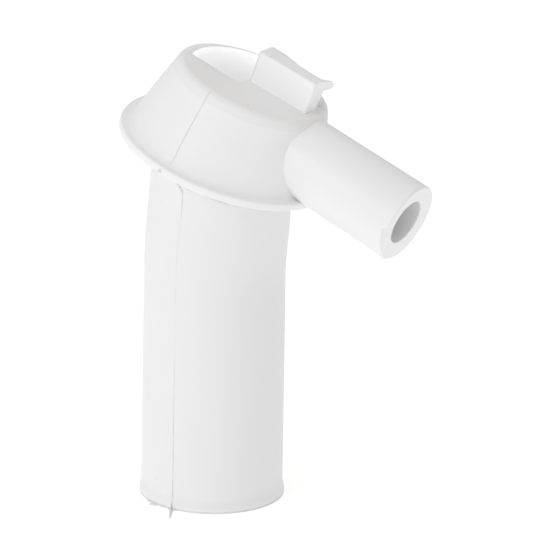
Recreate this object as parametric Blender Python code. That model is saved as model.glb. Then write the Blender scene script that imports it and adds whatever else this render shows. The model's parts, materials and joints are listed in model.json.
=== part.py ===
"""Fill tube with a tilted cap and a side inlet, moulded in a soft white elastomer.

World frame: +Z up, the tube stands on its lower end, and the origin is the centre of the
footprint. The cap is modelled in its own frame, the cap frame: local Z is the normal of the
tilted sealing flange, local X points to the inlet's side and local Y is world Y. The nozzle
dips a little further, in a nozzle frame of its own, whose local X is its axis.
"""
import math

import bmesh
import bpy
from mathutils import Matrix, Vector

MM = 0.001
GAP = 0.3 * MM                      # joint clearance between neighbouring pieces
SEGMENTS = 48                       # facets round every round piece

# Driving dimensions: the down tube
TUBE_RADIUS = 11.1 * MM
TUBE_BORE_RADIUS = 8.9 * MM
BEAD_RADIUS = 11.45 * MM            # rolled lip round the lower end
BEAD_HEIGHT = 2.0 * MM

# The cap frame: where the flange crosses the tube, and how far it leans
CAP_TILT = math.radians(20.0)
CAP_FORWARD = 2.0 * MM              # flange centre, in front of the tube's axis
CAP_HEIGHT = 55.7 * MM              # flange centre, above the tube's lower end

# The sealing flange
FLANGE_RADIUS = 17.15 * MM
FLANGE_EDGE = 1.25 * MM             # height of the flange's outer edge
FLANGE_BEVEL = 0.3 * MM
FLANGE_TOP = 1.5 * MM               # top of its hub, above the flange's centre plane
HUB_RADIUS = 15.45 * MM

# The tapered shell and the plate that covers it
CAP_TOP = 12.25 * MM                # level of the plate's top, above the flange's centre plane
TOP_HALF_LENGTH = 12.25 * MM        # half axis of the oval top along the nozzle
TOP_HALF_WIDTH = 10.5 * MM          # half axis across it
TOP_SHIFT = 0.45 * MM               # the oval's centre, towards the nozzle
SHELL_WALL_BASE = 2.0 * MM
SHELL_WALL_TOP = 1.5 * MM
PLATE_THICKNESS = 1.6 * MM
RIM_ROUND = 0.7 * MM                # rounding of the top's outer edge
VENT_EDGE_X = -0.3 * MM             # the plate leaves the quarter behind these two edges open
VENT_EDGE_Y = -2.9 * MM

# The hook that stands on the plate
HOOK_LENGTH = 10.5 * MM
HOOK_FRONT_Y = -0.7 * MM
HOOK_CREST_Y = 1.7 * MM             # rear edge of the crest
HOOK_NECK_Y = 2.75 * MM
HOOK_NOSE_Y = 5.8 * MM              # tip of the nose
HOOK_TOP = 17.4 * MM                # above the flange's centre plane
HOOK_UNDERSIDE = 14.8 * MM
NOSE_TIP = 15.4 * MM                # level of the nose's tip
NOSE_SHOULDER = 16.2 * MM           # level where its top turns down to the tip
NOSE_BEVEL = 1.0 * MM
TENON_MIN = Vector((1.5 * MM, 0.2 * MM))
TENON_MAX = Vector((8.8 * MM, 2.2 * MM))
TENON_DEPTH = 2.1 * MM              # how far the tenon reaches below the plate's top

# The inlet nozzle
NOZZLE_RADIUS = 6.35 * MM
NOZZLE_ROOT_RADIUS = 6.2 * MM
NOZZLE_BORE_RADIUS = 3.53 * MM
NOZZLE_LEVEL = 5.75 * MM            # where its axis crosses the cap frame's local Z
NOZZLE_DIP = math.radians(2.0)      # how far it points below the cap frame's local X
NOZZLE_ROOT_X = 12.0 * MM
NOZZLE_END_X = 32.2 * MM
NOZZLE_EDGE = 0.35 * MM             # chamfer of the nozzle's free end

# The footprint runs from the flange's rear edge to the nozzle's upper front edge
REAR_REACH = (CAP_FORWARD - FLANGE_RADIUS * math.cos(CAP_TILT)
              - (0.5 * FLANGE_EDGE - FLANGE_BEVEL) * math.sin(CAP_TILT))
FRONT_REACH = (CAP_FORWARD + NOZZLE_LEVEL * math.sin(CAP_TILT)
               + NOZZLE_END_X * math.cos(CAP_TILT + NOZZLE_DIP)
               + (NOZZLE_RADIUS - NOZZLE_EDGE) * math.sin(CAP_TILT + NOZZLE_DIP))
TUBE_AXIS_X = -0.5 * (REAR_REACH + FRONT_REACH)

WHITE = (0.90, 0.90, 0.89, 1.0)


def clear_scene():
    for item in list(bpy.data.objects):
        bpy.data.objects.remove(item, do_unlink=True)


def white_material(name, roughness):
    material = bpy.data.materials.new(name)
    material.use_nodes = True
    shader = material.node_tree.nodes["Principled BSDF"]
    shader.inputs["Base Color"].default_value = WHITE
    shader.inputs["Roughness"].default_value = roughness
    shader.inputs["Metallic"].default_value = 0.0
    return material


def make_frame(name, place, turn, parent=None):
    """An empty that its pieces are parented to."""
    frame = bpy.data.objects.new(name, None)
    bpy.context.scene.collection.objects.link(frame)
    frame.location = place
    frame.rotation_euler = (0.0, turn, 0.0)
    frame.parent = parent
    return frame


def add_object(name, mesh, parent, material=None):
    piece = bpy.data.objects.new(name, mesh)
    bpy.context.scene.collection.objects.link(piece)
    piece.parent = parent
    if material:
        mesh.materials.append(material)
    mesh.shade_smooth()
    mesh.set_sharp_from_angle(angle=math.radians(35.0))
    return piece


def loft_mesh(name, rings, hollow):
    """Rings of equal size joined one to the next, closed on themselves if hollow, else capped."""
    mesh_data = bmesh.new()
    loops = [[mesh_data.verts.new(point) for point in ring] for ring in rings]
    count = len(rings[0])
    pairs = list(zip(loops, loops[1:]))
    if hollow:
        pairs.append((loops[-1], loops[0]))
    for lower, upper in pairs:
        for i in range(count):
            j = (i + 1) % count
            mesh_data.faces.new((lower[i], lower[j], upper[j], upper[i]))
    if not hollow:
        mesh_data.faces.new(list(reversed(loops[0])))
        mesh_data.faces.new(loops[-1])
    bmesh.ops.recalc_face_normals(mesh_data, faces=mesh_data.faces)
    mesh = bpy.data.meshes.new(name)
    mesh_data.to_mesh(mesh)
    mesh_data.free()
    return mesh


def oval(half_x, half_y, level, shift=0.0):
    """A ring of SEGMENTS points on an ellipse at one level, its centre shifted along X."""
    turns = [2.0 * math.pi * i / SEGMENTS for i in range(SEGMENTS)]
    return [Vector((shift + half_x * math.cos(a), half_y * math.sin(a), level)) for a in turns]


def tube_section(radius, level):
    """The upright tube's circle as the cap frame's plane at this level cuts it: an ellipse."""
    shift = -(CAP_FORWARD + level * math.sin(CAP_TILT)) / math.cos(CAP_TILT)
    return oval(radius / math.cos(CAP_TILT), radius, level, shift)


def shell_section(level, inset):
    """The cap's outline at a level: a circle on the hub that turns into the oval top."""
    share = (level - FLANGE_TOP) / (CAP_TOP - FLANGE_TOP)
    half_x = HUB_RADIUS + share * (TOP_HALF_LENGTH - HUB_RADIUS) - inset
    half_y = HUB_RADIUS + share * (TOP_HALF_WIDTH - HUB_RADIUS) - inset
    return oval(half_x, half_y, level, share * TOP_SHIFT)


def prism_mesh(name, corners, low, high):
    """An upright prism over a flat outline, from one level to another."""
    rings = [[Vector((x, y, z)) for x, y in corners] for z in (low, high)]
    return loft_mesh(name, rings, hollow=False)


def rectangle(low_x, low_y, high_x, high_y):
    return ((low_x, low_y), (high_x, low_y), (high_x, high_y), (low_x, high_y))


def add_cutter(name, mesh, parent):
    cutter = add_object(name, mesh, parent)
    cutter.hide_render = True
    cutter.display_type = "WIRE"
    return cutter


def boolean(piece, other, operation):
    modifier = piece.modifiers.new(other.name, "BOOLEAN")
    modifier.operation = operation
    modifier.solver = "EXACT"
    modifier.object = other


def nozzle_mesh(name, profile, hollow):
    """Rings round the nozzle's axis, which is local X of the nozzle frame."""
    turn = Matrix.Rotation(math.pi / 2.0, 4, "Y")
    rings = [[turn @ point for point in oval(radius, radius, along)] for radius, along in profile]
    return loft_mesh(name, rings, hollow)


def cut_for_nozzle(piece, name, axis):
    """Takes the nozzle's path out of a piece, with the joint's clearance."""
    path = ((NOZZLE_ROOT_RADIUS + GAP, NOZZLE_ROOT_X - GAP), (NOZZLE_RADIUS + GAP, NOZZLE_END_X))
    boolean(piece, add_cutter(name, nozzle_mesh(name, path, hollow=False), axis), "DIFFERENCE")


def fill_tube(stand, material):
    """The down tube: a rolled lip at the bottom, its top cut parallel to the flange."""
    lip = BEAD_RADIUS - TUBE_RADIUS
    outer = ((TUBE_RADIUS, 0.0), (BEAD_RADIUS, lip), (BEAD_RADIUS, BEAD_HEIGHT - lip),
             (TUBE_RADIUS, BEAD_HEIGHT))
    rings = [oval(TUBE_BORE_RADIUS, TUBE_BORE_RADIUS, 0.0)]
    rings += [oval(radius, radius, height) for radius, height in outer]
    top_level = FLANGE_TOP - GAP
    for radius in (TUBE_RADIUS, TUBE_BORE_RADIUS):
        ring = oval(radius, radius, 0.0)
        for point in ring:
            drop = (point.x - CAP_FORWARD) * math.sin(CAP_TILT)
            point.z = CAP_HEIGHT + (top_level - drop) / math.cos(CAP_TILT)
        rings.append(ring)
    return add_object("fill_tube", loft_mesh("fill_tube", rings, hollow=True), stand, material)


def seal_flange(cap, nozzle_axis, material):
    """The tilted flange: an edge, a hollow sweep up to the hub, and a socket for the tube."""
    edge = 0.5 * FLANGE_EDGE
    profile = [(FLANGE_RADIUS - FLANGE_BEVEL, -edge), (FLANGE_RADIUS, FLANGE_BEVEL - edge),
               (FLANGE_RADIUS, edge - FLANGE_BEVEL), (FLANGE_RADIUS - FLANGE_BEVEL, edge)]
    sweep = FLANGE_TOP - edge
    profile += [(HUB_RADIUS + sweep * (1.0 - math.sin(turn)), FLANGE_TOP - sweep * math.cos(turn))
                for turn in (0.0, math.pi / 6.0, math.pi / 3.0, math.pi / 2.0)]
    rings = [tube_section(TUBE_RADIUS + GAP, -edge)]
    rings += [oval(radius, radius, level) for radius, level in profile]
    rings.append(tube_section(TUBE_RADIUS + GAP, FLANGE_TOP))
    mesh = loft_mesh("seal_flange", rings, hollow=True)
    flange = add_object("seal_flange", mesh, cap, material)
    cut_for_nozzle(flange, "nozzle_notch", nozzle_axis)
    return flange


def head_shell(cap, nozzle_axis, material):
    """The tapered shell: full height round the open quarter, a seat for the plate elsewhere."""
    base = FLANGE_TOP + GAP
    rings = [shell_section(base, 0.0), shell_section(CAP_TOP - RIM_ROUND, 0.0),
             shell_section(CAP_TOP, RIM_ROUND), shell_section(CAP_TOP, SHELL_WALL_TOP),
             shell_section(base, SHELL_WALL_BASE)]
    shell = add_object("head_shell", loft_mesh("head_shell", rings, hollow=True), cap, material)

    seat = CAP_TOP - PLATE_THICKNESS - GAP
    far = 2.0 * FLANGE_RADIUS
    corner = (VENT_EDGE_X - GAP, VENT_EDGE_Y + GAP)
    covered = ((-far, -far), (far, -far), (far, far), (corner[0], far), corner, (-far, corner[1]))
    seat_mesh = prism_mesh("plate_seat", covered, seat, far)
    boolean(shell, add_cutter("plate_seat", seat_mesh, cap), "DIFFERENCE")

    cut_for_nozzle(shell, "nozzle_hole", nozzle_axis)
    return shell


def top_plate(cap, nozzle_axis, material):
    """The cover plate: three quarters of the oval, with a slot for the hook's tenon."""
    underside = CAP_TOP - PLATE_THICKNESS
    rings = [shell_section(underside, 0.0), shell_section(CAP_TOP - RIM_ROUND, 0.0),
             shell_section(CAP_TOP, RIM_ROUND)]
    plate = add_object("top_plate", loft_mesh("top_plate", rings, hollow=False), cap, material)

    far = 2.0 * FLANGE_RADIUS
    vent = prism_mesh("vent", rectangle(-far, VENT_EDGE_Y, VENT_EDGE_X, far), 0.0, far)
    boolean(plate, add_cutter("vent", vent, cap), "DIFFERENCE")
    slot_outline = rectangle(TENON_MIN.x - GAP, TENON_MIN.y - GAP,
                             TENON_MAX.x + GAP, TENON_MAX.y + GAP)
    slot = prism_mesh("tenon_slot", slot_outline, 0.0, far)
    boolean(plate, add_cutter("tenon_slot", slot, cap), "DIFFERENCE")
    cut_for_nozzle(plate, "nozzle_relief", nozzle_axis)
    return plate


def hook_tab(cap, material):
    """The upright tab: a plane front, a flat crest, a barbed nose, and a tenon below."""
    foot = CAP_TOP + GAP
    outline = ((HOOK_FRONT_Y, foot), (HOOK_FRONT_Y, HOOK_TOP), (HOOK_CREST_Y, HOOK_TOP),
               (HOOK_NOSE_Y - NOSE_BEVEL, NOSE_SHOULDER), (HOOK_NOSE_Y, NOSE_TIP),
               (HOOK_NOSE_Y - NOSE_BEVEL, HOOK_UNDERSIDE), (HOOK_NECK_Y, HOOK_UNDERSIDE),
               (HOOK_NECK_Y, foot))
    rings = [[Vector((along, y, z)) for y, z in outline] for along in (0.0, HOOK_LENGTH)]
    hook = add_object("hook_tab", loft_mesh("hook_tab", rings, hollow=False), cap, material)
    overlap = 0.5 * (HOOK_UNDERSIDE - foot)
    tenon_outline = rectangle(TENON_MIN.x, TENON_MIN.y, TENON_MAX.x, TENON_MAX.y)
    tenon = prism_mesh("tenon", tenon_outline, CAP_TOP - TENON_DEPTH, foot + overlap)
    boolean(hook, add_cutter("tenon", tenon, cap), "UNION")
    return hook


def inlet_nozzle(axis, material):
    """The side spigot that the water line pushes into, open right through."""
    profile = ((NOZZLE_BORE_RADIUS, NOZZLE_ROOT_X), (NOZZLE_ROOT_RADIUS, NOZZLE_ROOT_X),
               (NOZZLE_RADIUS, NOZZLE_END_X - NOZZLE_EDGE),
               (NOZZLE_RADIUS - NOZZLE_EDGE, NOZZLE_END_X), (NOZZLE_BORE_RADIUS, NOZZLE_END_X))
    mesh = nozzle_mesh("inlet_nozzle", profile, hollow=True)
    return add_object("inlet_nozzle", mesh, axis, material)


clear_scene()
stand_frame = make_frame("stand_frame", (TUBE_AXIS_X, 0.0, 0.0), 0.0)
cap_frame = make_frame("cap_frame", (CAP_FORWARD, 0.0, CAP_HEIGHT), CAP_TILT, stand_frame)
nozzle_frame = make_frame("nozzle_frame", (0.0, 0.0, NOZZLE_LEVEL), NOZZLE_DIP, cap_frame)

fill_tube(stand_frame, white_material("tube_white", 0.42))
seal_flange(cap_frame, nozzle_frame, white_material("flange_white", 0.42))
head_shell(cap_frame, nozzle_frame, white_material("shell_white", 0.42))
top_plate(cap_frame, nozzle_frame, white_material("plate_white", 0.46))
hook_tab(cap_frame, white_material("hook_white", 0.46))
inlet_nozzle(nozzle_frame, white_material("nozzle_white", 0.40))
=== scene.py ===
import json
import math

import bpy
import numpy as np
from mathutils import Matrix, Vector


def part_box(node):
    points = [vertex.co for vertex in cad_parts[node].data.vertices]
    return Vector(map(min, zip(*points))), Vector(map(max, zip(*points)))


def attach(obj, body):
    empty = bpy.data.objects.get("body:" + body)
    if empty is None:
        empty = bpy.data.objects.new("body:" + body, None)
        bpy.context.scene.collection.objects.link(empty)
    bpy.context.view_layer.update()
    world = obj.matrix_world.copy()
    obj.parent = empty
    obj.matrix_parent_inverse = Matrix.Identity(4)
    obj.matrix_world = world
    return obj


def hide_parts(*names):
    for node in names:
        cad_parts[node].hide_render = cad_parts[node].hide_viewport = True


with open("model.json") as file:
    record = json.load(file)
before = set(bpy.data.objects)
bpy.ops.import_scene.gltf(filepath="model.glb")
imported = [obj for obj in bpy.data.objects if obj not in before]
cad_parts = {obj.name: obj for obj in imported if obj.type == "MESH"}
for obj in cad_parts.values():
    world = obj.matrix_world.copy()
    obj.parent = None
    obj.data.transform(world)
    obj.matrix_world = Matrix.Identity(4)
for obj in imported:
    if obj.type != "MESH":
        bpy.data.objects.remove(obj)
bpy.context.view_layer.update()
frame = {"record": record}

# ---------------------------------------------------------------------------
# Down tube. A straight soft spout with a slightly swollen lower end, moulded
# with a little draft. A parting line runs up its near side, and at its foot
# the mould has left a thin ragged flash with one long tongue.
# ---------------------------------------------------------------------------
MM = 0.001

TUBE_RADIUS = 11.1 * MM
TUBE_BORE = 8.9 * MM
TUBE_DRAFT = 0.022            # share of the radius lost at DRAFT_HEIGHT, as the square of height
DRAFT_HEIGHT = 45.0 * MM
LIP_PROUD = 0.28 * MM
LIP_HEIGHT = 2.3 * MM
TUBE_LEAN = 0.95 * MM         # the tube's top end leans this far towards the nozzle
LEAN_START = 37.0 * MM
LEAN_LENGTH = 15.0 * MM
PARTING_TURN = math.radians(-89.6)
PARTING_KINK = math.radians(7.0)  # the line jumps aside by this turn just under the flange
PARTING_STEP = 0.1 * MM       # depth of the mould step that runs off from the kink
FLASH_THICKNESS = 0.16 * MM
TONGUE_TURN = math.radians(-60.0)
TONGUE_LENGTH = 3.4 * MM
TONGUE_ROOT = 1.0 * MM        # what the tongue's wider root adds to that
FAR_SAG = 0.38 * MM           # how far the cap's foot sags on the side away from the nozzle
SAG_REACH = 17.0 * MM
SAG_TOP = 9.0 * MM
FLANGE_EDGE = 1.25 * MM

mounts = {mount["name"]: mount for mount in frame["record"]["mounts"]}
tube_low, tube_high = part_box("fill_tube")
tube_axis = np.array([0.5 * (tube_low.x + tube_high.x), 0.0, tube_low.z])
across = np.array([0.0, 1.0, 0.0])
cap_up = -np.array(mounts["flange_seat"]["axis"], float)        # square to the flange
cap_way = np.cross(across, cap_up)                              # along it, to the nozzle's side
cap_origin = (np.array(mounts["flange_seat"]["pos_m"], float) * (1.0, 0.0, 1.0)
              + 0.5 * FLANGE_EDGE * cap_up)


def cap_point(along, side, level):
    """Cap frame to world: origin + along * cap way + side * Y + level * flange normal. Low
    down, the side away from the nozzle sags by a smooth step of its distance along."""
    along, side, level = np.broadcast_arrays(along, side, level)
    sag = FAR_SAG * smooth_step(-along, 0.0, SAG_REACH)
    sag = sag * (1.0 - smooth_step(level, 2.0 * MM, SAG_TOP))
    return (cap_origin + along[..., None] * cap_way + side[..., None] * across
            + (level - sag)[..., None] * cap_up)


def arc(centre, radius, start, end, count):
    """Points of a circle arc in a profile plane: centre + radius * (cos, sin) of the turn."""
    turn = np.linspace(start, end, count)
    return np.stack([centre[0] + radius * np.cos(turn), centre[1] + radius * np.sin(turn)], 1)


def straight(start, end, count):
    """Evenly spaced points from one profile point towards another, the last one left out."""
    share = np.linspace(0.0, 1.0, count, endpoint=False)[:, None]
    return np.asarray(start) * (1.0 - share) + np.asarray(end) * share


def bunched(count, bunching):
    """Shares from 0 to 1, crowded at both ends: u - bunching / (2 pi) * sin(2 pi u)."""
    share = np.arange(count) / count
    return share - bunching / (2.0 * math.pi) * np.sin(2.0 * math.pi * share)


def smooth_step(value, start, end):
    """0 before start, 1 after end, and 3 s^2 - 2 s^3 between."""
    share = np.clip((value - start) / (end - start), 0.0, 1.0)
    return share * share * (3.0 - 2.0 * share)


def bell(value, width):
    """A ridge's section: exp(-(x / width)^2)."""
    return np.exp(-(value / width) ** 2)


def wrapped(turn):
    """The same turn between -pi and pi."""
    return (turn + math.pi) % (2.0 * math.pi) - math.pi


def parting_line(arc_length):
    """Height of the parting line's section at a distance from it: two low lips with a fine
    groove between, and the painted shade that darkens the groove."""
    groove = bell(arc_length, 0.085 * MM)
    lips = bell(arc_length, 0.26 * MM)
    return 0.05 * MM * lips - 0.15 * MM * groove, groove


def surface(name, rows, closed_rows, poles=None, painted_shade=None, glow=None, crease=40.0):
    """A mesh from a grid of points: rows by columns by 3, with the columns wrapped round.
    closed_rows joins the last row to the first; poles closes each end with a fan instead.
    The signed volume, a sum of a . (b x c) over the triangles, decides which side is out."""
    row_count, column_count = rows.shape[:2]
    index = np.arange(row_count * column_count).reshape(row_count, column_count)
    lower = index if closed_rows else index[:-1]
    upper = np.roll(index, -1, axis=0) if closed_rows else index[1:]
    quads = np.stack([lower, np.roll(lower, -1, axis=1), np.roll(upper, -1, axis=1), upper], -1)
    quads = quads.reshape(-1, 4)
    points = rows.reshape(-1, 3)
    fans = np.empty((0, 3), int)
    if poles is not None:
        points = np.vstack([points, poles])
        first, last = index[0], index[-1]
        start_pole = np.full(column_count, len(points) - 2)
        end_pole = np.full(column_count, len(points) - 1)
        fans = np.vstack([np.stack([start_pole, np.roll(first, -1), first], 1),
                          np.stack([end_pole, last, np.roll(last, -1)], 1)])
    triangles = np.vstack([quads[:, [0, 1, 2]], quads[:, [0, 2, 3]], fans])
    a, b, c = (points[triangles[:, i]] - points.mean(axis=0) for i in range(3))
    if np.einsum("ij,ij->i", a, np.cross(b, c)).sum() < 0.0:
        quads = quads[:, ::-1]
        fans = fans[:, ::-1]
    mesh = bpy.data.meshes.new(name)
    mesh.vertices.add(len(points))
    mesh.vertices.foreach_set("co", points.astype(np.float32).ravel())
    mesh.loops.add(quads.size + fans.size)
    corners = np.concatenate([quads.ravel(), fans.ravel()])
    mesh.loops.foreach_set("vertex_index", corners.astype(np.int32))
    mesh.polygons.add(len(quads) + len(fans))
    starts = np.concatenate([np.arange(len(quads)) * 4, quads.size + np.arange(len(fans)) * 3])
    mesh.polygons.foreach_set("loop_start", starts.astype(np.int32))
    mesh.update(calc_edges=True)
    mesh.shade_smooth()
    mesh.set_sharp_from_angle(angle=math.radians(crease))
    for label, values in (("painted_shade", painted_shade), ("glow", glow)):
        amount = np.zeros(len(points), np.float32)
        if values is not None:
            amount[:values.size] = values.ravel()
        mesh.attributes.new(label, "FLOAT", "POINT").data.foreach_set("value", amount)
    piece = bpy.data.objects.new(name, mesh)
    bpy.context.scene.collection.objects.link(piece)
    return piece


def skin_group():
    """The moulded skin that every piece shares: cloudy tone, fine matt grain, slow waviness and
    a few specks, all on Object coordinates, with painted shade where the mesh's attribute for it says."""
    group = bpy.data.node_groups.new("moulded_skin", "ShaderNodeTree")
    for name, kind, value in (("Tone", "NodeSocketColor", (0.8, 0.8, 0.8, 1.0)),
                              ("Cloud", "NodeSocketFloat", 0.02),
                              ("Roughness", "NodeSocketFloat", 0.45),
                              ("Grain", "NodeSocketFloat", 0.15),
                              ("Waviness", "NodeSocketFloat", 1.0),
                              ("Specks", "NodeSocketFloat", 0.12),
                              ("PaintedShade", "NodeSocketFloat", 0.25)):
        socket = group.interface.new_socket(name, in_out="INPUT", socket_type=kind)
        socket.default_value = value
    for name, kind in (("Color", "NodeSocketColor"), ("Roughness", "NodeSocketFloat"),
                       ("Height", "NodeSocketFloat")):
        group.interface.new_socket(name, in_out="OUTPUT", socket_type=kind)
    nodes, links = group.nodes, group.links
    inward = nodes.new("NodeGroupInput")
    outward = nodes.new("NodeGroupOutput")
    place = nodes.new("ShaderNodeTexCoord")

    def noise(scale, detail, rough=0.5):
        node = nodes.new("ShaderNodeTexNoise")
        node.inputs["Scale"].default_value = scale
        node.inputs["Detail"].default_value = detail
        node.inputs["Roughness"].default_value = rough
        links.new(place.outputs["Object"], node.inputs["Vector"])
        return node.outputs["Fac"]

    def maths(operation, *sources):
        node = nodes.new("ShaderNodeMath")
        node.operation = operation
        for socket, source in zip(node.inputs, sources):
            if isinstance(source, (int, float)):
                socket.default_value = source
            else:
                links.new(source, socket)
        return node.outputs[0]

    cloud = maths("SUBTRACT", noise(95.0, 3.0, 0.55), 0.5)
    cloud = maths("MULTIPLY", cloud, inward.outputs["Cloud"])
    speck = nodes.new("ShaderNodeTexVoronoi")
    speck.inputs["Scale"].default_value = 210.0
    links.new(place.outputs["Object"], speck.inputs["Vector"])
    chosen = nodes.new("ShaderNodeSeparateColor")
    links.new(speck.outputs["Color"], chosen.inputs["Color"])
    dot = maths("MULTIPLY", maths("LESS_THAN", speck.outputs["Distance"], 0.03),
                maths("GREATER_THAN", chosen.outputs["Red"], 0.9))
    dot = maths("MULTIPLY", dot, inward.outputs["Specks"])
    # painted shade: the colour is darkened where the mesh's attribute for painted shade says, broken
    # up by noise
    shade_attribute = nodes.new("ShaderNodeAttribute")
    shade_attribute.attribute_name = "painted_shade"
    patchy = maths("MULTIPLY_ADD", noise(700.0, 2.0), 0.7, 0.65)
    painted_shade = maths("MULTIPLY", shade_attribute.outputs["Fac"], patchy)
    painted_shade = maths("MULTIPLY", painted_shade, inward.outputs["PaintedShade"])
    tone = maths("SUBTRACT", maths("SUBTRACT", maths("ADD", 1.0, cloud), dot), painted_shade)
    scaled = nodes.new("ShaderNodeVectorMath")
    scaled.operation = "SCALE"
    links.new(inward.outputs["Tone"], scaled.inputs[0])
    links.new(tone, scaled.inputs["Scale"])
    links.new(scaled.outputs["Vector"], outward.inputs["Color"])

    height = maths("MULTIPLY", noise(2600.0, 2.0), inward.outputs["Grain"])
    height = maths("MULTIPLY_ADD", noise(150.0, 1.0), inward.outputs["Waviness"], height)
    links.new(height, outward.inputs["Height"])
    shine = maths("MULTIPLY_ADD", maths("SUBTRACT", noise(420.0, 2.0), 0.5), 0.12,
                  inward.outputs["Roughness"])
    links.new(shine, outward.inputs["Roughness"])
    return group


moulded_skin = skin_group()
WHITE = (0.86, 0.86, 0.865)


def elastomer(name, roughness=0.46, tone=WHITE):
    """Soft white moulding compound: the shared skin over a matt body, with a plain emission,
    a painted glow, where the mesh's glow attribute says, which stands for daylight through a thin
    wall."""
    material = bpy.data.materials.new(name)
    material.use_nodes = True
    nodes, links = material.node_tree.nodes, material.node_tree.links
    shader = nodes["Principled BSDF"]
    shader.inputs["IOR"].default_value = 1.46
    shader.inputs["Specular IOR Level"].default_value = 0.35
    skin = nodes.new("ShaderNodeGroup")
    skin.node_tree = moulded_skin
    skin.inputs["Tone"].default_value = (*tone, 1.0)
    skin.inputs["Roughness"].default_value = roughness
    glow = nodes.new("ShaderNodeAttribute")
    glow.attribute_name = "glow"
    links.new(glow.outputs["Fac"], shader.inputs["Emission Strength"])
    shader.inputs["Emission Color"].default_value = (*tone, 1.0)
    relief = nodes.new("ShaderNodeBump")
    relief.inputs["Strength"].default_value = 0.5
    relief.inputs["Distance"].default_value = 0.00004
    links.new(skin.outputs["Color"], shader.inputs["Base Color"])
    links.new(skin.outputs["Roughness"], shader.inputs["Roughness"])
    links.new(skin.outputs["Height"], relief.inputs["Height"])
    links.new(relief.outputs["Normal"], shader.inputs["Normal"])
    return material


def foot_flash(turn):
    """The flash round the tube's foot, as two reaches: a long narrow tongue at the parting line,
    and a ragged stretch beside it, which is a short sum of sines under two smooth ends."""
    beside = wrapped(turn - PARTING_TURN)
    tongue = (TONGUE_LENGTH * bell(beside, math.radians(1.3))
              + TONGUE_ROOT * bell(beside, math.radians(2.6)))
    window = smooth_step(-beside, 0.08, 0.16) * (1.0 - smooth_step(-beside, 0.44, 0.54))
    ragged = 0.6 + 0.35 * np.sin(37.0 * beside) + 0.3 * np.sin(71.0 * beside + 1.0)
    patch = bell(beside + 0.33, 0.07)
    return tongue, window * np.clip(ragged, 0.1, None) * (0.25 + 0.9 * patch) * MM + 0.02 * MM


def build_tube():
    """A profile of radius and height, down the outside and up the bore, turned about the tube's
    axis. The lip swells by a smooth step. Upper rows slide down by their x times the flange's
    slope, so that the top is cut parallel to the flange, and move sideways with the lean."""
    columns, upper_rows, lip_rows, bend_rows = 360, 150, 14, 4
    top = (cap_origin[2] - tube_axis[2]) + 0.2 * MM
    soft = 0.3 * MM
    thin = FLASH_THICKNESS
    profile = np.vstack([
        straight((TUBE_RADIUS, top), (TUBE_RADIUS, LIP_HEIGHT), upper_rows),
        straight((TUBE_RADIUS, LIP_HEIGHT), (TUBE_RADIUS, thin + soft), lip_rows),
        arc((TUBE_RADIUS - soft, thin + soft), soft, 0.0, -0.3 * math.pi, bend_rows),
        [(TUBE_RADIUS - 0.1 * MM, thin), (TUBE_RADIUS, thin), (TUBE_RADIUS, 0.5 * thin),
         (TUBE_RADIUS - 0.1 * MM, 0.0)],
        arc((TUBE_BORE + soft, soft), soft, -0.5 * math.pi, -math.pi, 7),
        straight((TUBE_BORE, 2.0 * soft), (TUBE_BORE, top), 30),
        [(TUBE_BORE, top)],
    ])
    fin_start = upper_rows + lip_rows + bend_rows + 1
    fin_rows = slice(fin_start, fin_start + 2)
    radius, height = profile[:, 0, None], profile[:, 1, None]
    beside = 2.0 * math.pi * bunched(columns, 0.93)[None, :]
    from_seam = wrapped(beside)
    turn = PARTING_TURN + beside
    outside = (np.arange(len(profile)) < fin_start + 3)[:, None]
    draft = 1.0 - TUBE_DRAFT * (height / DRAFT_HEIGHT) ** 2
    lip = LIP_PROUD * (1.0 - smooth_step(height, 0.6 * MM, LIP_HEIGHT)) * outside
    under_flange = (top - height) / MM
    kink = PARTING_KINK * smooth_step(-under_flange, -4.7, -2.9)
    widening = (1.0 + 0.9 * smooth_step(-under_flange, -4.9, -4.0)
                + 0.6 * smooth_step(-height, -3.5 * MM, -1.0 * MM))
    # the parting line's groove gets painted shade
    line, painted_shade = parting_line((from_seam + kink) * TUBE_RADIUS / widening)
    strength = (0.22 + 0.45 * smooth_step(-height, -30.0 * MM, -14.0 * MM)
                + 0.5 * smooth_step(-height, -5.0 * MM, -1.0 * MM)
                + 0.7 * smooth_step(-under_flange, -9.5, -6.0)
                + 0.8 * smooth_step(-under_flange, -5.0, -4.2))
    strength = strength * (0.85 + 0.3 * np.sin(900.0 * height) * np.sin(2300.0 * height + 1.0))
    line, painted_shade = line * strength * outside, np.clip(painted_shade * strength, 0.0, 1.6) * outside
    step_window = smooth_step(from_seam, 0.02, 0.06) * (1.0 - smooth_step(from_seam, 0.62, 0.85))
    step = bell(under_flange - 3.55 + 0.6 * from_seam, 0.09) * step_window * outside
    radius = radius * draft + lip + line - PARTING_STEP * step
    tongue, ragged = foot_flash(turn)
    radius[fin_rows] = radius[fin_rows] + ragged
    lean = TUBE_LEAN * smooth_step(height, LEAN_START, LEAN_START + LEAN_LENGTH)
    x, y = radius * np.cos(turn), radius * np.sin(turn)
    x[fin_rows] = x[fin_rows] + tongue * math.cos(TONGUE_TURN)
    y[fin_rows] = y[fin_rows] + tongue * math.sin(TONGUE_TURN)
    slope = smooth_step(height, 0.3 * top, 0.96 * top)
    z = height - slope * (x + lean) * cap_up[0] / cap_up[2]
    points = np.stack([x + lean, y, z], -1) + tube_axis
    # painted shadow along the mould step under the flange
    painted_shade = np.clip(painted_shade + 0.7 * step, 0.0, 1.5)
    return surface("tube_body", points, closed_rows=True, painted_shade=painted_shade)


tube = build_tube()
# a darker copy of the shared white: painted shade on the tube
tube.data.materials.append(elastomer("tube_elastomer", tone=(0.825, 0.825, 0.83)))
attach(tube, "root")
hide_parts("fill_tube")

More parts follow.
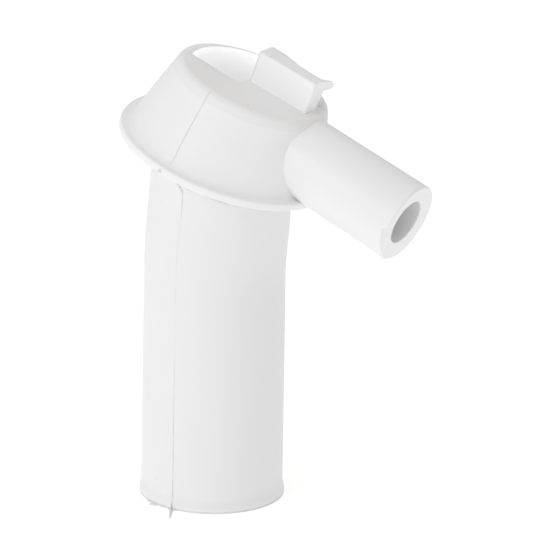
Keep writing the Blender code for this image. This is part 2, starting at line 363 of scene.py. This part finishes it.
# ---------------------------------------------------------------------------
# Sealing flange. A tilted skirt that beds on the panel round its hole: a thin
# upright edge, then a hollow sweep up into the foot of the cap.
# ---------------------------------------------------------------------------
FLANGE_RADIUS = 17.15 * MM
FLANGE_BAND = 16.35 * MM      # where the flat band turns into the sweep
FLANGE_NICK = math.radians(-93.0)
NICK_DEPTH = 0.45 * MM
UNDERSIDE_START = 14.6 * MM
SOCKET_RADIUS = 11.3 * MM
SOCKET_LENGTH = 12.2 * MM     # the upright tube cuts the tilted flange in a longer oval,
SOCKET_SHIFT = -2.1 * MM      # whose middle lies off the flange's own
HUB_RADIUS = 15.45 * MM       # the cap's outline at HUB_LEVEL
HUB_LEVEL = 1.5 * MM
SWEEP_TOP = 2.5 * MM          # where the sweep runs out into the cap's side
SWEEP_REACH = 0.84            # how far the band's direction carries into the sweep
CAP_TOP = 12.25 * MM
TOP_LENGTH = 12.25 * MM       # half axes of the oval top
TOP_WIDTH = 10.5 * MM
TOP_SHIFT = 0.45 * MM
CAP_SEAM = math.radians(-91.0)
SEAM_DRIFT = math.radians(-4.4)   # how far the parting line wanders from the hub to the top


def cap_axes(level, inset=0.0):
    """Half axes and centre of the cap's elliptic section: each runs in step with the level from
    the round hub to the oval top, and the inset shortens both half axes."""
    share = (level - HUB_LEVEL) / (CAP_TOP - HUB_LEVEL)
    length = HUB_RADIUS + share * (TOP_LENGTH - HUB_RADIUS) - inset
    width = HUB_RADIUS + share * (TOP_WIDTH - HUB_RADIUS) - inset
    return length, width, share * TOP_SHIFT


def seam_turn(level):
    """Turn of the cap's parting line at a level; it wanders in step with the level."""
    return CAP_SEAM + SEAM_DRIFT * (level - HUB_LEVEL) / (CAP_TOP - HUB_LEVEL)


def cap_outline(level, turn, inset=0.0):
    """A point of the cap's section: centre + length * cos, width * sin of the turn."""
    length, width, shift = cap_axes(level, inset)
    return shift + length * np.cos(turn), width * np.sin(turn)


def build_flange():
    """Rows of the profile: out along the underside, round the edge, in along the band, up a
    cubic sweep to the cap's side, over and down the socket."""
    columns = 420
    turn = CAP_SEAM + 2.0 * math.pi * bunched(columns, 0.8)[None, :]
    ring = np.ones_like(turn)
    half = 0.5 * FLANGE_EDGE
    soft = 0.3 * MM
    profile = np.vstack([
        straight((UNDERSIDE_START, -half), (FLANGE_RADIUS - soft, -half), 10),
        arc((FLANGE_RADIUS - soft, soft - half), soft, -0.5 * math.pi, 0.0, 8),
        arc((FLANGE_RADIUS - soft, half - soft), soft, 0.0, 0.5 * math.pi, 8),
        straight((FLANGE_RADIUS - soft, half), (FLANGE_BAND, half), 5)[1:],
    ])
    wobble = 0.06 * MM * np.sin(3.0 * turn + 0.6) + 0.03 * MM * np.sin(7.0 * turn)
    nick = bell(wrapped(turn - FLANGE_NICK) * FLANGE_RADIUS, 0.3 * MM)
    line, painted_shade = parting_line(wrapped(turn - CAP_SEAM) * FLANGE_RADIUS)
    radius = profile[:, 0, None] * ring
    outer = smooth_step(radius, FLANGE_BAND, FLANGE_RADIUS)
    lower = smooth_step(-profile[:, 1, None], -0.1 * MM, 0.4 * MM)
    radius = radius + outer * (wobble - NICK_DEPTH * nick * lower)
    along, side = radius * np.cos(turn), radius * np.sin(turn)
    level = profile[:, 1, None] * ring

    sweep_rows = 16
    share = np.linspace(0.0, 1.0, sweep_rows)[:, None]
    foot = FLANGE_BAND * np.cos(turn), FLANGE_BAND * np.sin(turn)
    end = cap_outline(SWEEP_TOP, turn, -0.6 * line)
    low_level = SWEEP_TOP - 1.1 * MM
    low = cap_outline(low_level, turn)

    def bezier(first, second, third, fourth):
        return ((1 - share) ** 3 * first + 3 * (1 - share) ** 2 * share * second
                + 3 * (1 - share) * share ** 2 * third + share ** 3 * fourth)

    sweep = [bezier(foot[i], foot[i] + SWEEP_REACH * (low[i] - foot[i]), low[i], end[i])
             for i in (0, 1)]
    sweep_level = bezier(half, half, low_level, SWEEP_TOP) * ring
    cover = cap_outline(SWEEP_TOP, turn, 2.2 * MM)
    socket = SOCKET_SHIFT + SOCKET_LENGTH * np.cos(turn), SOCKET_RADIUS * np.sin(turn)
    along = np.vstack([socket[0], along, sweep[0], cover[0], socket[0]])
    side = np.vstack([socket[1], side, sweep[1], cover[1], socket[1]])
    level = np.vstack([-half * ring, level, sweep_level, SWEEP_TOP * ring, 0.5 * SWEEP_TOP * ring])
    painted_shade_map = np.zeros_like(along)
    # painted shade along the parting line up the sweep
    painted_shade_map[-sweep_rows - 2:-2] = share * painted_shade
    # painted shade in the nick at the flange's lower edge
    painted_shade_map[1:1 + len(radius)] = 1.2 * nick * lower * outer
    return surface("flange_skirt", cap_point(along, side, level), closed_rows=True, painted_shade=painted_shade_map)


flange = build_flange()
flange.data.materials.append(elastomer("flange_elastomer"))
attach(flange, "root")
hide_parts("seal_flange")

# ---------------------------------------------------------------------------
# Cap shell. The tapered chamber in which the water turns down. Behind the
# cover plate one quarter is open, and there the wall rises to a flat rim.
# ---------------------------------------------------------------------------
VENT_ALONG = -0.3 * MM        # the cover plate's two rear edges
VENT_SIDE = -2.9 * MM
PLATE_THICKNESS = 1.6 * MM
RIM_ROUND = 0.75 * MM
RIM_WALL = 1.75 * MM          # the rim's width at the left, and how much it thins to the rear
RIM_THINNING = 0.75 * MM
WALL_GLOW = 0.62              # painted glow: the emission of the open wall's inside, as given
CAP_SEAM_STRENGTH = 0.7       # the parting line's depth and painted shade here, as a share of full ones
SHELL_SEAM_RADIUS = 15.0 * MM     # turns along the wall times this give the distance from the line


def covered_turns(level, inset):
    """Turns of the covered stretch at one level, from the left rear edge through the parting
    line to the right rear edge. Both ends lie on the plate's edges, the columns crowd at the
    line, and the turns run in step between those three fixed turns."""
    length, width, shift = cap_axes(level, inset)
    first = -math.pi - np.arcsin(VENT_SIDE / width)
    last = np.arccos((VENT_ALONG - shift) / length)
    crowd = 1.0 - np.linspace(1.0, 0.0, 110) ** 2.4
    seam = seam_turn(level)
    before = first + (seam - first) * crowd
    after = seam + (last - seam) * np.linspace(0.0, 1.0, 230) ** 2.4
    return np.concatenate([before, after[1:]])


def cap_parting_line(turn, level, radius):
    """The parting line's height and painted shade on the cap: parting_line by its strength here."""
    line, painted_shade = parting_line(wrapped(turn - seam_turn(level)) * radius)
    return CAP_SEAM_STRENGTH * line, CAP_SEAM_STRENGTH * painted_shade


def open_turns(level, inset):
    """Turns of the open stretch at one level, from the right rear edge to the left one."""
    length, width, shift = cap_axes(level, inset)
    first = np.arccos((VENT_ALONG - shift) / length)
    last = math.pi - np.arcsin(VENT_SIDE / width)
    return first + (last - first) * np.linspace(0.0, 1.0, 130)


def build_shell():
    """Rows up the tapered outside, over the rim and down the inside. A row joins the covered
    stretch, whose top is the plate's seat, to the open one, whose top is the cap's. Towards
    the rear the open wall thins from the inside by a smooth step of its turn."""
    seat = CAP_TOP - PLATE_THICKNESS
    base = SWEEP_TOP
    rows, painted_shade_map, glow = [], [], []

    def add_row(covered_level, covered_inset, open_level, open_inset,
                outside=0.0, inside=0.0, painted_glow=0.0):
        covered = covered_turns(covered_level, covered_inset)
        opened = open_turns(open_level, open_inset)
        line, painted_shade = cap_parting_line(covered, covered_level, SHELL_SEAM_RADIUS)
        thin = RIM_THINNING * smooth_step(-wrapped(opened - math.pi), -0.1, 1.3) * inside
        first = cap_outline(covered_level, covered, covered_inset - line * outside)
        second = cap_outline(open_level, opened, open_inset - thin)
        levels = np.concatenate([np.full(len(covered), covered_level),
                                 np.full(len(opened), open_level)])
        rows.append(cap_point(np.concatenate([first[0], second[0]]),
                              np.concatenate([first[1], second[1]]), levels))
        # painted shade in the parting line's groove, on the outside rows only
        painted_shade_map.append(np.concatenate([painted_shade * outside, np.zeros(len(opened))]))
        # painted glow: emission on the open wall's inside rows, and 0.4 of it on the covered ones
        glow.append(np.concatenate([np.full(len(covered), 0.4 * painted_glow),
                                    np.full(len(opened), painted_glow)]))

    for share in np.linspace(0.0, 1.0, 40):
        add_row(base + share * (seat - base), 0.0,
                base + share * (CAP_TOP - RIM_ROUND - base), 0.0, 1.0)
    for quarter in np.linspace(0.0, 0.5 * math.pi, 9)[1:]:
        add_row(seat, 0.1 * MM * math.sin(quarter),
                CAP_TOP - RIM_ROUND * (1.0 - math.sin(quarter)), RIM_ROUND * (1.0 - math.cos(quarter)))
    inner = 0.15 * MM
    add_row(seat, RIM_WALL - inner, CAP_TOP, RIM_WALL - inner, 0.0, 1.0)
    for quarter in np.linspace(0.0, 0.5 * math.pi, 5)[1:]:
        drop = inner * (1.0 - math.cos(quarter))
        inset = RIM_WALL - inner * (1.0 - math.sin(quarter))
        add_row(seat - drop, inset, CAP_TOP - drop, inset, 0.0, 1.0, WALL_GLOW * math.sin(quarter))
    for share in np.linspace(0.0, 1.0, 30)[1:]:
        open_level = CAP_TOP - inner - share * (CAP_TOP - inner - base)
        lip = 0.1 * MM * smooth_step(CAP_TOP - open_level, 0.62 * MM, 0.72 * MM)
        add_row(seat - inner - share * (seat - inner - base), RIM_WALL + 0.5 * MM * share,
                open_level, RIM_WALL + lip + 0.5 * MM * share,
                0.0, 1.0, WALL_GLOW * (1.0 - 0.5 * share))
    return surface("cap_shell", np.array(rows), closed_rows=True,
                   painted_shade=np.array(painted_shade_map), glow=np.array(glow))


shell = build_shell()
shell.data.materials.append(elastomer("shell_elastomer"))
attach(shell, "root")
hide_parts("head_shell")

# ---------------------------------------------------------------------------
# Cover plate. It closes the front and the right of the cap, flush with the
# shell's taper, and ends in straight rear edges at the open quarter.
# ---------------------------------------------------------------------------
PLATE_HEART = np.array([3.0 * MM, -4.4 * MM])     # the plate's surface grows out from here
EDGE_ROUND = 0.2 * MM
INNER_CORNER = 0.35 * MM
PLATE_SEAM_RADIUS = 13.0 * MM
MARKS = (((10.0 * MM, 4.3 * MM), 0.36 * MM, 0.25 * MM, 1.0),    # place, width, depth and painted shade of a dimple and a small pit
         ((4.7 * MM, -7.8 * MM), 0.2 * MM, 0.12 * MM, 1.3))     # a dimple and a small pit


def plate_outline(level, inset, edge_inset):
    """The plate's outline at a level: the oval's covered stretch, then the two rear edges with
    a rounded inner corner. Also the parting line's painted shade on it, and the share of each point's
    rounding that is the rim's: all of it on the oval, and soon none on the rear edges."""
    turn = covered_turns(level, inset)
    line, painted_shade = cap_parting_line(turn, level, PLATE_SEAM_RADIUS)
    oval = np.stack(cap_outline(level, turn, inset - line), 1)
    corner = np.array([VENT_ALONG, VENT_SIDE])
    bend = INNER_CORNER
    rear = straight(oval[-1], corner + (0.0, bend), 50)[1:]
    left = straight(corner - (bend, 0.0), oval[0], 50)[1:]
    round_way = arc((0.0, 0.0), 1.0, 0.0, -0.5 * math.pi, 7)
    to_rim = np.concatenate([np.arange(len(rear)), np.full(len(round_way), len(rear)),
                             np.arange(len(left))[::-1]])
    path = np.vstack([rear, corner + (-bend, bend) + bend * round_way, left])
    outward = np.vstack([np.tile([-1.0, 0.0], (len(rear), 1)), -round_way,
                         np.tile([0.0, 1.0], (len(left), 1))])
    path = path - outward * (edge_inset * smooth_step(to_rim, 1, 5))[:, None]
    rim_part = np.concatenate([np.ones(len(oval)), 1.0 - smooth_step(to_rim, 0, 4)])
    return np.vstack([oval, path]), np.concatenate([painted_shade, np.zeros(len(path))]), rim_part


def build_plate():
    """Rings grown from the heart to the inset outline, a quarter-round edge, the side that goes
    on the shell's taper, and the underside back to the heart. The marks are dents by a bell."""
    low = CAP_TOP - PLATE_THICKNESS
    plan, level, painted_shade_map = [], [], []
    inner, painted_shade, rim_part = plate_outline(CAP_TOP, RIM_ROUND, EDGE_ROUND)
    rounding = EDGE_ROUND + rim_part * (RIM_ROUND - EDGE_ROUND)
    for share in np.linspace(0.0, 1.0, 71)[1:]:
        plan.append(PLATE_HEART + share * (inner - PLATE_HEART))
        level.append(np.full(len(inner), CAP_TOP))
        painted_shade_map.append(0.0 * painted_shade)
    for quarter in np.linspace(0.0, 0.5 * math.pi, 9)[1:]:
        drop, inset = 1.0 - math.cos(quarter), 1.0 - math.sin(quarter)
        ring, painted_shade, _ = plate_outline(CAP_TOP - RIM_ROUND * drop, RIM_ROUND * inset,
                                      EDGE_ROUND * inset)
        plan.append(ring)
        level.append(CAP_TOP - rounding * drop)
        painted_shade_map.append(painted_shade * math.sin(quarter))
    for share in (0.5, 1.0):
        side_level = CAP_TOP - RIM_ROUND - share * (PLATE_THICKNESS - RIM_ROUND)
        ring, painted_shade, _ = plate_outline(side_level, 0.0, 0.0)
        plan.append(ring)
        level.append(CAP_TOP - rounding - share * (PLATE_THICKNESS - rounding))
        painted_shade_map.append(painted_shade)
    for share in np.linspace(1.0, 0.0, 7)[1:-1]:
        plan.append(PLATE_HEART + share * (ring - PLATE_HEART))
        level.append(np.full(len(ring), low))
        painted_shade_map.append(0.0 * painted_shade)
    plan, level, painted_shade_map = np.array(plan), np.array(level), np.array(painted_shade_map)
    for place, width, depth, shade in MARKS:
        away = np.linalg.norm(plan - place, axis=-1)
        near = bell(away, width) * (level > CAP_TOP - 0.9 * RIM_ROUND)
        level = level - depth * near
        # painted shade in the dimple and the pit
        painted_shade_map = painted_shade_map + shade * near ** 2
    poles = cap_point(PLATE_HEART[0], PLATE_HEART[1], np.array([CAP_TOP, low]))
    points = cap_point(plan[..., 0], plan[..., 1], level)
    return surface("cover_plate", points, closed_rows=False, poles=poles, painted_shade=painted_shade_map)


plate = build_plate()
# a darker copy of the shared white: painted shade on the up-facing plate
plate.data.materials.append(elastomer("plate_elastomer", roughness=0.5, tone=(0.83, 0.83, 0.83)))
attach(plate, "root")
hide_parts("top_plate")

# ---------------------------------------------------------------------------
# Hook tab. An upright tab with a flat crest and a barbed nose to the rear,
# which snaps under the edge of a bracket. Its soft nose droops in the middle.
# ---------------------------------------------------------------------------
HOOK_LENGTH = 10.6 * MM
HOOK_SOFT = 0.13 * MM         # rounding of the tab's two ends
HOOK_FRONT = -0.7 * MM
HOOK_NECK = 2.75 * MM
HOOK_HEEL = 2.2 * MM          # the back of the tab where it meets the plate
CREST_BACK = 1.7 * MM
CREST_TURN = 0.75 * MM        # the crest's rear edge runs this far askew at either end
NOSE_DROOP = 0.75 * MM
CREST_PAINTED_SHADE = 0.32             # painted shade over the whole up-facing crest, which makes it a shade greyer


def rounded_outline(corners, radii, spacing):
    """A closed outline through corners, each rounded by an arc tangent to its two sides, with
    the straight runs divided evenly."""
    arcs = []
    for here, radius in enumerate(radii):
        back = corners[here - 1] - corners[here]
        ahead = corners[(here + 1) % len(corners)] - corners[here]
        back, ahead = back / np.linalg.norm(back), ahead / np.linalg.norm(ahead)
        half = 0.5 * math.acos(float(np.clip(back @ ahead, -1.0, 1.0)))
        middle = (back + ahead) / np.linalg.norm(back + ahead)
        centre = corners[here] + middle * radius / math.sin(half)
        first = corners[here] + back * radius / math.tan(half) - centre
        last = corners[here] + ahead * radius / math.tan(half) - centre
        share = np.linspace(0.0, 1.0, 7)[:, None]
        bent = first * (1.0 - share) + last * share
        arcs.append(centre + bent * radius / np.linalg.norm(bent, axis=1, keepdims=True))
    runs = []
    for here, bent in enumerate(arcs):
        start, end = bent[-1], arcs[(here + 1) % len(arcs)][0]
        count = max(2, int(np.linalg.norm(end - start) / spacing))
        runs += [bent, straight(start, end, count)[1:]]
    return np.vstack(runs)


def build_hook():
    """The section, drawn across the cap's way, carried along it with quarter-round ends. The
    crest's rear edge and the nose then shift with the distance along, by smooth weights."""
    foot = CAP_TOP - 0.4 * MM
    corners = np.array([(HOOK_FRONT, foot), (HOOK_FRONT, 17.35 * MM), (CREST_BACK, 17.55 * MM),
                        (4.85 * MM, 16.5 * MM), (5.8 * MM, 15.7 * MM), (4.75 * MM, 15.2 * MM),
                        (HOOK_NECK, 15.4 * MM), (HOOK_HEEL, foot)])
    radii = np.array([0.05, 0.14, 0.2, 0.45, 0.22, 0.3, 0.35, 0.05]) * MM
    outline = rounded_outline(corners, radii, 0.2 * MM)
    chord = np.roll(outline, -1, axis=0) - np.roll(outline, 1, axis=0)
    normal = np.stack([chord[:, 1], -chord[:, 0]], 1) / np.linalg.norm(chord, axis=1, keepdims=True)
    if np.sum(normal * (outline - outline.mean(axis=0))) < 0.0:
        normal = -normal
    soft = HOOK_SOFT
    heart = np.array([1.6 * MM, 16.0 * MM])
    inner = outline - normal * soft
    quarters = np.linspace(0.0, 0.5 * math.pi, 6)
    plans, reaches = [], []
    for share in np.linspace(0.0, 1.0, 9)[1:]:
        plans.append(heart + share * (inner - heart))
        reaches.append(0.0)
    for quarter in quarters[1:]:
        plans.append(inner + normal * soft * math.sin(quarter))
        reaches.append(soft * (1.0 - math.cos(quarter)))
    for reach in np.linspace(soft, HOOK_LENGTH - soft, 70)[1:]:
        plans.append(outline)
        reaches.append(reach)
    for quarter in quarters[::-1][1:]:
        plans.append(inner + normal * soft * math.sin(quarter))
        reaches.append(HOOK_LENGTH - soft * (1.0 - math.cos(quarter)))
    for share in np.linspace(1.0, 0.0, 9)[1:-1]:
        plans.append(heart + share * (inner - heart))
        reaches.append(HOOK_LENGTH)
    plan = np.array(plans)
    reach = np.broadcast_to(np.array(reaches)[:, None], plan.shape[:2])
    side, level = plan[..., 0], plan[..., 1]
    top = smooth_step(level, 16.6 * MM, 17.4 * MM)
    askew = CREST_TURN * (1.0 - 2.0 * reach / HOOK_LENGTH)
    side = side + askew * top * smooth_step(side, HOOK_FRONT + 0.4 * MM, CREST_BACK)
    droop = smooth_step(reach, 0.5 * MM, 7.5 * MM) * (1.0 - smooth_step(reach, 9.0 * MM, 10.2 * MM))
    level = level - NOSE_DROOP * droop * smooth_step(side, CREST_BACK, 4.8 * MM)
    poles = cap_point(np.array([0.0, HOOK_LENGTH]), heart[0], heart[1])
    # painted shade: a dark line along the tab's end rounding at the front, and over the crest
    painted_shade_map = 1.1 * bell(reach - 0.5 * soft, 0.12 * MM) * (1.0 - smooth_step(side, 0.0, 0.8 * MM))
    painted_shade_map = painted_shade_map + CREST_PAINTED_SHADE * smooth_step(level, 17.15 * MM, 17.3 * MM)
    return surface("hook", cap_point(reach, side, level), closed_rows=False, poles=poles, painted_shade=painted_shade_map)


hook = build_hook()
# a lighter copy of the shared white: painted light on the tab
hook.data.materials.append(elastomer("hook_elastomer", roughness=0.5, tone=(0.92, 0.92, 0.925)))
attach(hook, "root")
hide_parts("hook_tab")

# ---------------------------------------------------------------------------
# Inlet nozzle. A thick-walled spigot that grips the water line in its bore.
# Its end was trimmed at the gate, which left a slanting flat on one side.
# ---------------------------------------------------------------------------
NOZZLE_RADIUS = 6.27 * MM
NOZZLE_ROOT_RADIUS = 6.15 * MM
NOZZLE_BORE = 3.53 * MM
NOZZLE_LENGTH = 20.4 * MM
NOZZLE_SHIFT = (0.1 * MM, 0.36 * MM)      # along its axis and up, from the frame's end mount
BORE_OFFSET = (-0.5 * MM, 0.32 * MM)      # the core pin sat a little to one side and up
GATE_START = math.radians(170.0)
GATE_END = math.radians(226.0)
GATE_DEPTH = 0.75 * MM
BURR_TURN = math.radians(243.0)
BURR_HEIGHT = 0.22 * MM

nozzle_way = np.array(mounts["nozzle_end"]["axis"], float)
nozzle_up = np.cross(nozzle_way, across)
nozzle_tip = np.array(mounts["nozzle_end"]["pos_m"], float) * (1.0, 0.0, 1.0)
nozzle_tip = nozzle_tip + NOZZLE_SHIFT[0] * nozzle_way + NOZZLE_SHIFT[1] * nozzle_up


def build_nozzle():
    """A profile of radius and setback from the end face, turned about the nozzle's axis. The
    outer edge is set back at the gate by a ramp that starts sharply and runs out slowly, with
    a low burr beyond it. The bore's rows are shifted by its offset."""
    turn = np.linspace(0.0, 2.0 * math.pi, 360, endpoint=False)[None, :]
    soft, lip = 0.28 * MM, 0.2 * MM
    profile = np.vstack([
        straight((NOZZLE_ROOT_RADIUS, NOZZLE_LENGTH), (NOZZLE_RADIUS, soft), 90),
        arc((NOZZLE_RADIUS - soft, soft), soft, 0.0, -0.5 * math.pi, 8),
        straight((NOZZLE_RADIUS - soft, 0.0), (NOZZLE_BORE + lip, 0.0), 12)[1:],
        arc((NOZZLE_BORE + lip, lip), lip, -0.5 * math.pi, -math.pi, 7),
        straight((NOZZLE_BORE, lip), (NOZZLE_BORE, NOZZLE_LENGTH), 40)[1:],
        [(NOZZLE_BORE, NOZZLE_LENGTH)],
    ])
    radius, setback = profile[:, 0, None], profile[:, 1, None]
    gate = smooth_step(turn, GATE_START, GATE_START + 0.12)
    gate = gate * np.clip((GATE_END - turn) / (GATE_END - GATE_START), 0.0, 1.0)
    near_end = 1.0 - smooth_step(setback, 0.0, 1.4 * MM)
    rim = smooth_step(radius, NOZZLE_RADIUS - 1.1 * MM, NOZZLE_RADIUS - 0.2 * MM)
    setback = setback + GATE_DEPTH * gate * rim * near_end
    burr = bell((turn - BURR_TURN) * NOZZLE_RADIUS, 0.9 * MM) * near_end
    radius = radius + BURR_HEIGHT * burr * rim
    off = 1.0 - smooth_step(radius, NOZZLE_BORE, NOZZLE_BORE + 2.0 * MM)
    side = radius * np.cos(turn) + off * BORE_OFFSET[0]
    rise = radius * np.sin(turn) + off * BORE_OFFSET[1]
    points = (nozzle_tip - setback[..., None] * nozzle_way + side[..., None] * across
              + rise[..., None] * nozzle_up)
    return surface("nozzle", points, closed_rows=True)


nozzle = build_nozzle()
# a slightly darker copy of the shared white: painted shade on the nozzle
nozzle.data.materials.append(elastomer("nozzle_elastomer", roughness=0.36,
                                       tone=(0.85, 0.85, 0.855)))
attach(nozzle, "root")
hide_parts("inlet_nozzle")

# ---------------------------------------------------------------------------
# Floor. A plain pale table that glows a little, as a light table does.
# ---------------------------------------------------------------------------
FLOOR_HALF = 6.0
floor_mesh = bpy.data.meshes.new("floor")
floor_mesh.from_pydata([(-FLOOR_HALF, -FLOOR_HALF, 0.0), (FLOOR_HALF, -FLOOR_HALF, 0.0),
                        (FLOOR_HALF, FLOOR_HALF, 0.0), (-FLOOR_HALF, FLOOR_HALF, 0.0)], [],
                       [(0, 1, 2, 3)])
floor = bpy.data.objects.new("floor", floor_mesh)
bpy.context.scene.collection.objects.link(floor)
floor_white = bpy.data.materials.new("floor_white")
floor_white.use_nodes = True
floor_shader = floor_white.node_tree.nodes["Principled BSDF"]
floor_shader.inputs["Base Color"].default_value = (0.93, 0.93, 0.93, 1.0)
floor_shader.inputs["Roughness"].default_value = 0.9
floor_shader.inputs["Specular IOR Level"].default_value = 0.0
floor_shader.inputs["Emission Color"].default_value = (1.0, 1.0, 1.0, 1.0)
floor_shader.inputs["Emission Strength"].default_value = 0.33
floor_mesh.materials.append(floor_white)

# ---------------------------------------------------------------------------
# Light. A pale room whose glow rises to the ceiling as the square of the height,
# and one broad soft light from the front and left.
# ---------------------------------------------------------------------------
ROOM_GLOW = 0.50
CEILING_GLOW = 0.52
LAMP_OFFSET = Vector((-0.30, -0.85, 0.45))    # from the middle of the part
MIDDLE_HEIGHT = 0.04
LAMP_SIZE = 0.5
LAMP_POWER = 2.2

room = bpy.data.worlds.new("room")
room.use_nodes = True
room_nodes, room_links = room.node_tree.nodes, room.node_tree.links
room_place = room_nodes.new("ShaderNodeTexCoord")
room_split = room_nodes.new("ShaderNodeSeparateXYZ")
room_links.new(room_place.outputs["Generated"], room_split.inputs["Vector"])
room_height = room_nodes.new("ShaderNodeMath")
room_height.operation = "MAXIMUM"
room_height.inputs[1].default_value = 0.0
room_links.new(room_split.outputs["Z"], room_height.inputs[0])
room_square = room_nodes.new("ShaderNodeMath")
room_square.operation = "POWER"
room_square.inputs[1].default_value = 2.0
room_links.new(room_height.outputs["Value"], room_square.inputs[0])
room_glow = room_nodes.new("ShaderNodeMath")
room_glow.operation = "MULTIPLY_ADD"
room_glow.inputs[1].default_value = CEILING_GLOW
room_glow.inputs[2].default_value = ROOM_GLOW
room_links.new(room_square.outputs["Value"], room_glow.inputs[0])
room_links.new(room_glow.outputs["Value"], room_nodes["Background"].inputs["Strength"])
room_nodes["Background"].inputs["Color"].default_value = (1.0, 0.988, 0.975, 1.0)
bpy.context.scene.world = room
bpy.context.scene.view_settings.view_transform = "Standard"

lamp_data = bpy.data.lights.new("front_light", "AREA")
lamp_data.size = LAMP_SIZE
lamp_data.energy = LAMP_POWER
lamp_data.color = (0.95, 0.945, 1.0)
lamp = bpy.data.objects.new("front_light", lamp_data)
bpy.context.scene.collection.objects.link(lamp)
lamp.location = Vector((tube_axis[0], 0.0, MIDDLE_HEIGHT)) + LAMP_OFFSET
lamp.rotation_euler = (-LAMP_OFFSET).to_track_quat("-Z", "Y").to_euler()

# ---------------------------------------------------------------------------
# Camera. A long lens from the front right, a little above the object.
# ---------------------------------------------------------------------------
VIEW_TURN = math.radians(-32.23)
VIEW_DROP = math.radians(16.77)
VIEW_ROLL = math.radians(1.16)
VIEW_DISTANCE = 0.555
LENS_WIDTHS = 6.5213          # focal length over the sensor's width
AIM_RIGHT = 9.29 * MM
AIM_UP = 35.45 * MM

forward = Vector((math.sin(VIEW_TURN) * math.cos(VIEW_DROP),
                  math.cos(VIEW_TURN) * math.cos(VIEW_DROP), -math.sin(VIEW_DROP)))
level_right = Vector((math.cos(VIEW_TURN), -math.sin(VIEW_TURN), 0.0))
level_up = level_right.cross(forward)
right = math.cos(VIEW_ROLL) * level_right + math.sin(VIEW_ROLL) * level_up
up = -math.sin(VIEW_ROLL) * level_right + math.cos(VIEW_ROLL) * level_up
aim = Vector(tube_axis) + AIM_RIGHT * level_right + Vector((0.0, 0.0, AIM_UP))

camera_data = bpy.data.cameras.new("camera")
camera_data.sensor_width = 36.0
camera_data.lens = LENS_WIDTHS * camera_data.sensor_width
camera_data.clip_start = 0.01
camera_data.clip_end = 50.0
camera = bpy.data.objects.new("camera", camera_data)
bpy.context.scene.collection.objects.link(camera)
turned = Matrix((right, up, -forward)).transposed().to_4x4()
camera.matrix_world = Matrix.Translation(aim - VIEW_DISTANCE * forward) @ turned
bpy.context.scene.camera = camera
